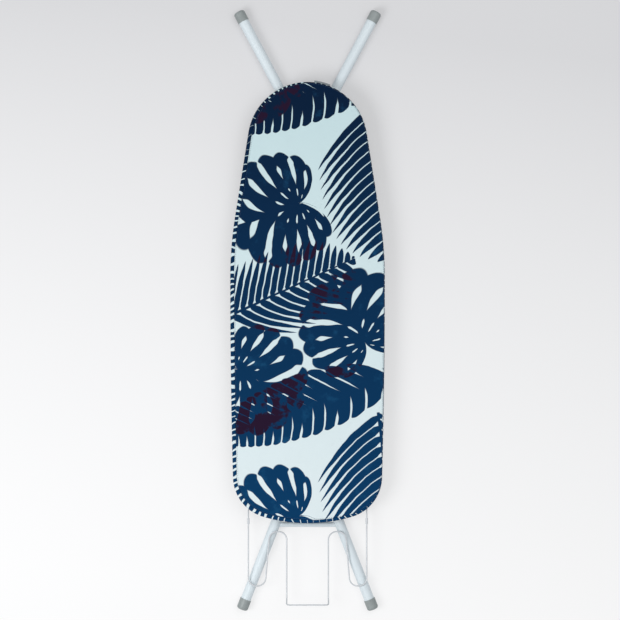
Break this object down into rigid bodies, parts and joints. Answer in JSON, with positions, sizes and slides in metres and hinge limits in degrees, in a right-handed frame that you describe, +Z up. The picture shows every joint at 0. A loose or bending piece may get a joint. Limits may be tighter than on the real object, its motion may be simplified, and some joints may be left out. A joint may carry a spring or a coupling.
{
  "type": "ironing board",
  "caption": "Folding ironing board with a padded leaf-print cover on a steel mesh top, crossed tube legs with foot caps, a height lever and a sliding wire iron rest.",
  "frame": {"origin": "middle of the folded length and width, on the floor that the foot caps lie on", "axes": "+Y along the board towards the nose, +Z up out of the ironing face, +X to the right seen from above with the nose away"},
  "size_m": [0.377, 1.476, 0.059],
  "materials": {
    "frame_paint": "smooth white powder coat on steel",
    "mesh_paint": "white powder coat on expanded steel mesh",
    "wire_coating": "white coated steel wire",
    "zinc_steel": "zinc plated steel",
    "grey_plastic": "grey moulded plastic, semi-gloss",
    "white_plastic": "off-white moulded plastic",
    "cover_fabric": "woven cotton with a printed leaf pattern in navy on pale aqua",
    "binding_fabric": "woven cotton edge strip of the same print",
    "pad_foam": "foam and felt pad",
    "elastic": "woven elastic",
    "tab_tape": "plain woven tape"
  },
  "bodies": {
    "board": {"board_rim": "frame_paint", "mesh_top": "mesh_paint", "nose_cross_bar": "frame_paint", "channel_front_bar": "frame_paint", "channel_middle_bar": "frame_paint", "lever_cross_bar": "frame_paint", "rear_cross_bar": "frame_paint", "hinge_cross_bar": "frame_paint", "tail_cross_bar": "frame_paint", "height_channel": "frame_paint", "channel_rivets": "zinc_steel", "hinge_brackets": "frame_paint", "hinge_axle": "zinc_steel", "hinge_axle_caps": "grey_plastic", "lever_bracket": "frame_paint", "lever_pin": "zinc_steel", "lever_spring": "zinc_steel", "wire_guides": "white_plastic", "foam_pad": "pad_foam", "cover_top_panel": "cover_fabric", "cover_skirt": "binding_fabric", "hem_elastic": "elastic", "woven_tab": "tab_tape"},
    "outer_legs": {"outer_leg_left": "frame_paint", "outer_leg_right": "frame_paint", "outer_leg_foot_cap_left": "grey_plastic", "outer_leg_foot_cap_right": "grey_plastic", "outer_tube_plugs": "grey_plastic", "outer_leg_ears": "frame_paint", "outer_leg_strut": "frame_paint", "pivot_bolt": "zinc_steel", "pivot_nut": "zinc_steel", "pivot_washers": "zinc_steel", "pivot_spacers": "white_plastic"},
    "inner_legs": {"inner_leg_left": "frame_paint", "inner_leg_right": "frame_paint", "inner_leg_foot_cap_left": "grey_plastic", "inner_leg_foot_cap_right": "grey_plastic", "inner_tube_plugs": "grey_plastic", "inner_leg_ears": "frame_paint", "inner_leg_strut": "frame_paint", "slide_rod": "zinc_steel", "slide_rod_caps": "grey_plastic", "pivot_sleeve": "white_plastic"},
    "release_lever": {"lever_arm": "frame_paint", "lever_grip": "grey_plastic", "locking_comb": "zinc_steel"},
    "iron_rest": {"iron_rest_wire": "wire_coating", "wire_ferrules": "wire_coating", "wire_end_stops": "wire_coating"}
  },
  "joints": [
    {"name": "legs_fold", "type": "hinge", "parent": "board", "child": "outer_legs", "pos_m": [0, -0.347, 0.034], "axis": [-1, 0, 0], "range_deg": [0, 52]},
    {"name": "legs_cross", "type": "hinge", "parent": "outer_legs", "child": "inner_legs", "pos_m": [0, 0, 0.014], "axis": [1, 0, 0], "range_deg": [0, 104]},
    {"name": "lever_squeeze", "type": "hinge", "parent": "board", "child": "release_lever", "pos_m": [0.06, 0, 0.038], "axis": [0, -1, 0], "range_deg": [-5, 3], "stiffness_Nm_per_rad": 5},
    {"name": "iron_rest_slide", "type": "slide", "parent": "board", "child": "iron_rest", "axis": [0, 1, 0], "range_m": [0, 0.15]}
  ],
  "couplings": [
    {"joint": "legs_cross", "follows": "legs_fold", "ratio": 2}
  ]
}
